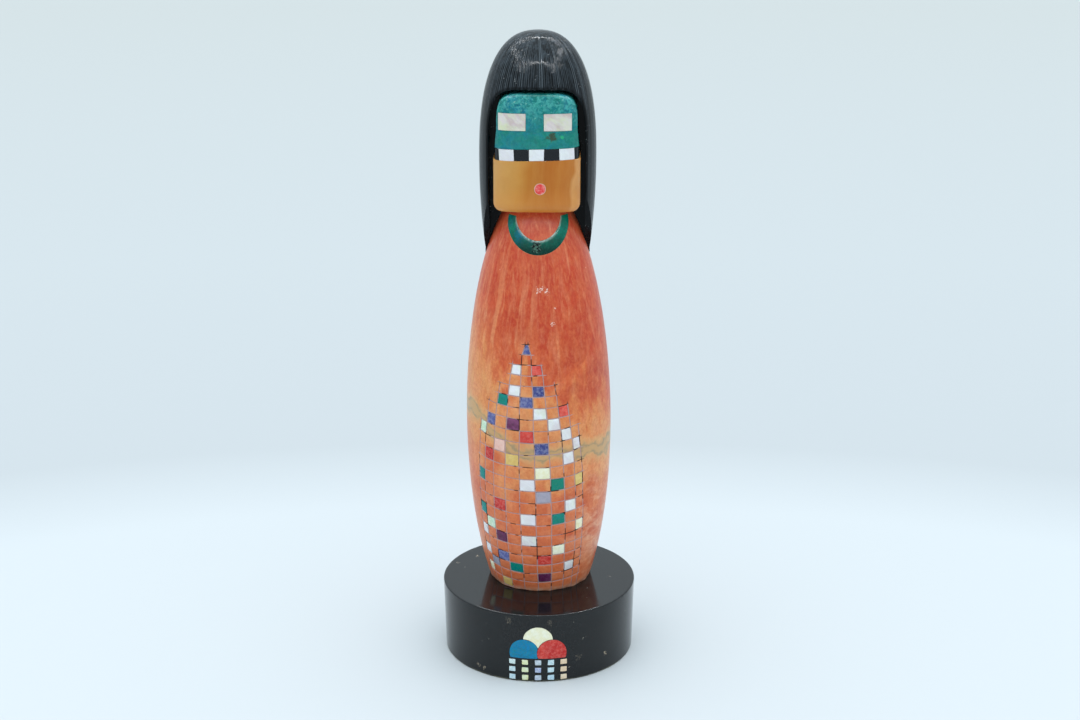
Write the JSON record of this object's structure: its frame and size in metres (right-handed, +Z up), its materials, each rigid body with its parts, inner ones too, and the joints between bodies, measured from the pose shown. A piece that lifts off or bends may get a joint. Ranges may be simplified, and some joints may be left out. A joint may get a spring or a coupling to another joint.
{
  "type": "stone kachina figure",
  "caption": "Carved corn maiden figure of inlaid coloured stone with a black hood of hair, standing on a round black plinth.",
  "frame": {"origin": "centre of the plinth's flat underside, on the surface that the object stands on", "axes": "+Z up, -Y the way the figure faces, +X to the right when looking at its front"},
  "size_m": [0.08, 0.08, 0.258],
  "materials": {
    "black_marble": "polished",
    "coral_orange": "satin",
    "black_hair": "satin",
    "turquoise": "satin",
    "honey_onyx": "polished",
    "pearl": "polished",
    "jet": "polished",
    "coral_red": "satin",
    "malachite": "satin",
    "shell": "polished",
    "blue_turquoise": "satin",
    "lapis": "satin",
    "sugilite": "satin",
    "amber": "satin",
    "grey_shell": "polished",
    "pink_shell": "polished"
  },
  "bodies": {
    "root": {"plinth": "black_marble", "body": "coral_orange", "hair": "black_hair", "mask": "turquoise", "eye_left": "pearl", "eye_right": "pearl", "chin": "honey_onyx", "mouth": "coral_red", "necklace": "malachite", "cloud_right": "coral_red", "cloud_left": "blue_turquoise", "cloud_top": "shell", "band_1_jet": "jet", "band_2_pearl": "pearl", "band_3_jet": "jet", "band_4_pearl": "pearl", "band_5_jet": "jet", "band_6_pearl": "pearl", "band_7_jet": "jet", "kernel_r00_c5": "lapis", "kernel_r02_c4": "pearl", "kernel_r02_c6": "coral_red", "kernel_r04_c4": "pearl", "kernel_r04_c6": "lapis", "kernel_r05_c3": "turquoise", "kernel_r05_c5": "lapis", "kernel_r06_c6": "pearl", "kernel_r07_c4": "sugilite", "kernel_r07_c7": "pearl", "kernel_r08_c5": "coral_red", "kernel_r09_c3": "pink_shell", "kernel_r09_c6": "lapis", "kernel_r10_c4": "amber", "kernel_r11_c6": "shell", "kernel_r12_c5": "pearl", "kernel_r12_c7": "turquoise", "kernel_r13_c6": "grey_shell", "kernel_r14_c3": "coral_red", "kernel_r15_c5": "pearl", "kernel_r15_c7": "turquoise", "kernel_r17_c3": "sugilite", "kernel_r17_c5": "pearl", "kernel_r19_c6": "coral_red", "kernel_r20_c4": "turquoise", "kernel_r21_c6": "sugilite", "rain_r1_c1": "shell", "rain_r1_c2": "shell", "rain_r1_c3": "shell", "rain_r1_c4": "shell", "rain_r1_c5": "shell", "rain_r2_c1": "shell", "rain_r2_c2": "shell", "rain_r2_c3": "shell", "rain_r2_c4": "shell", "rain_r2_c5": "shell", "rain_r3_c1": "shell", "rain_r3_c2": "shell", "rain_r3_c3": "shell", "rain_r3_c4": "shell", "rain_r3_c5": "shell"}
  },
  "joints": []
}
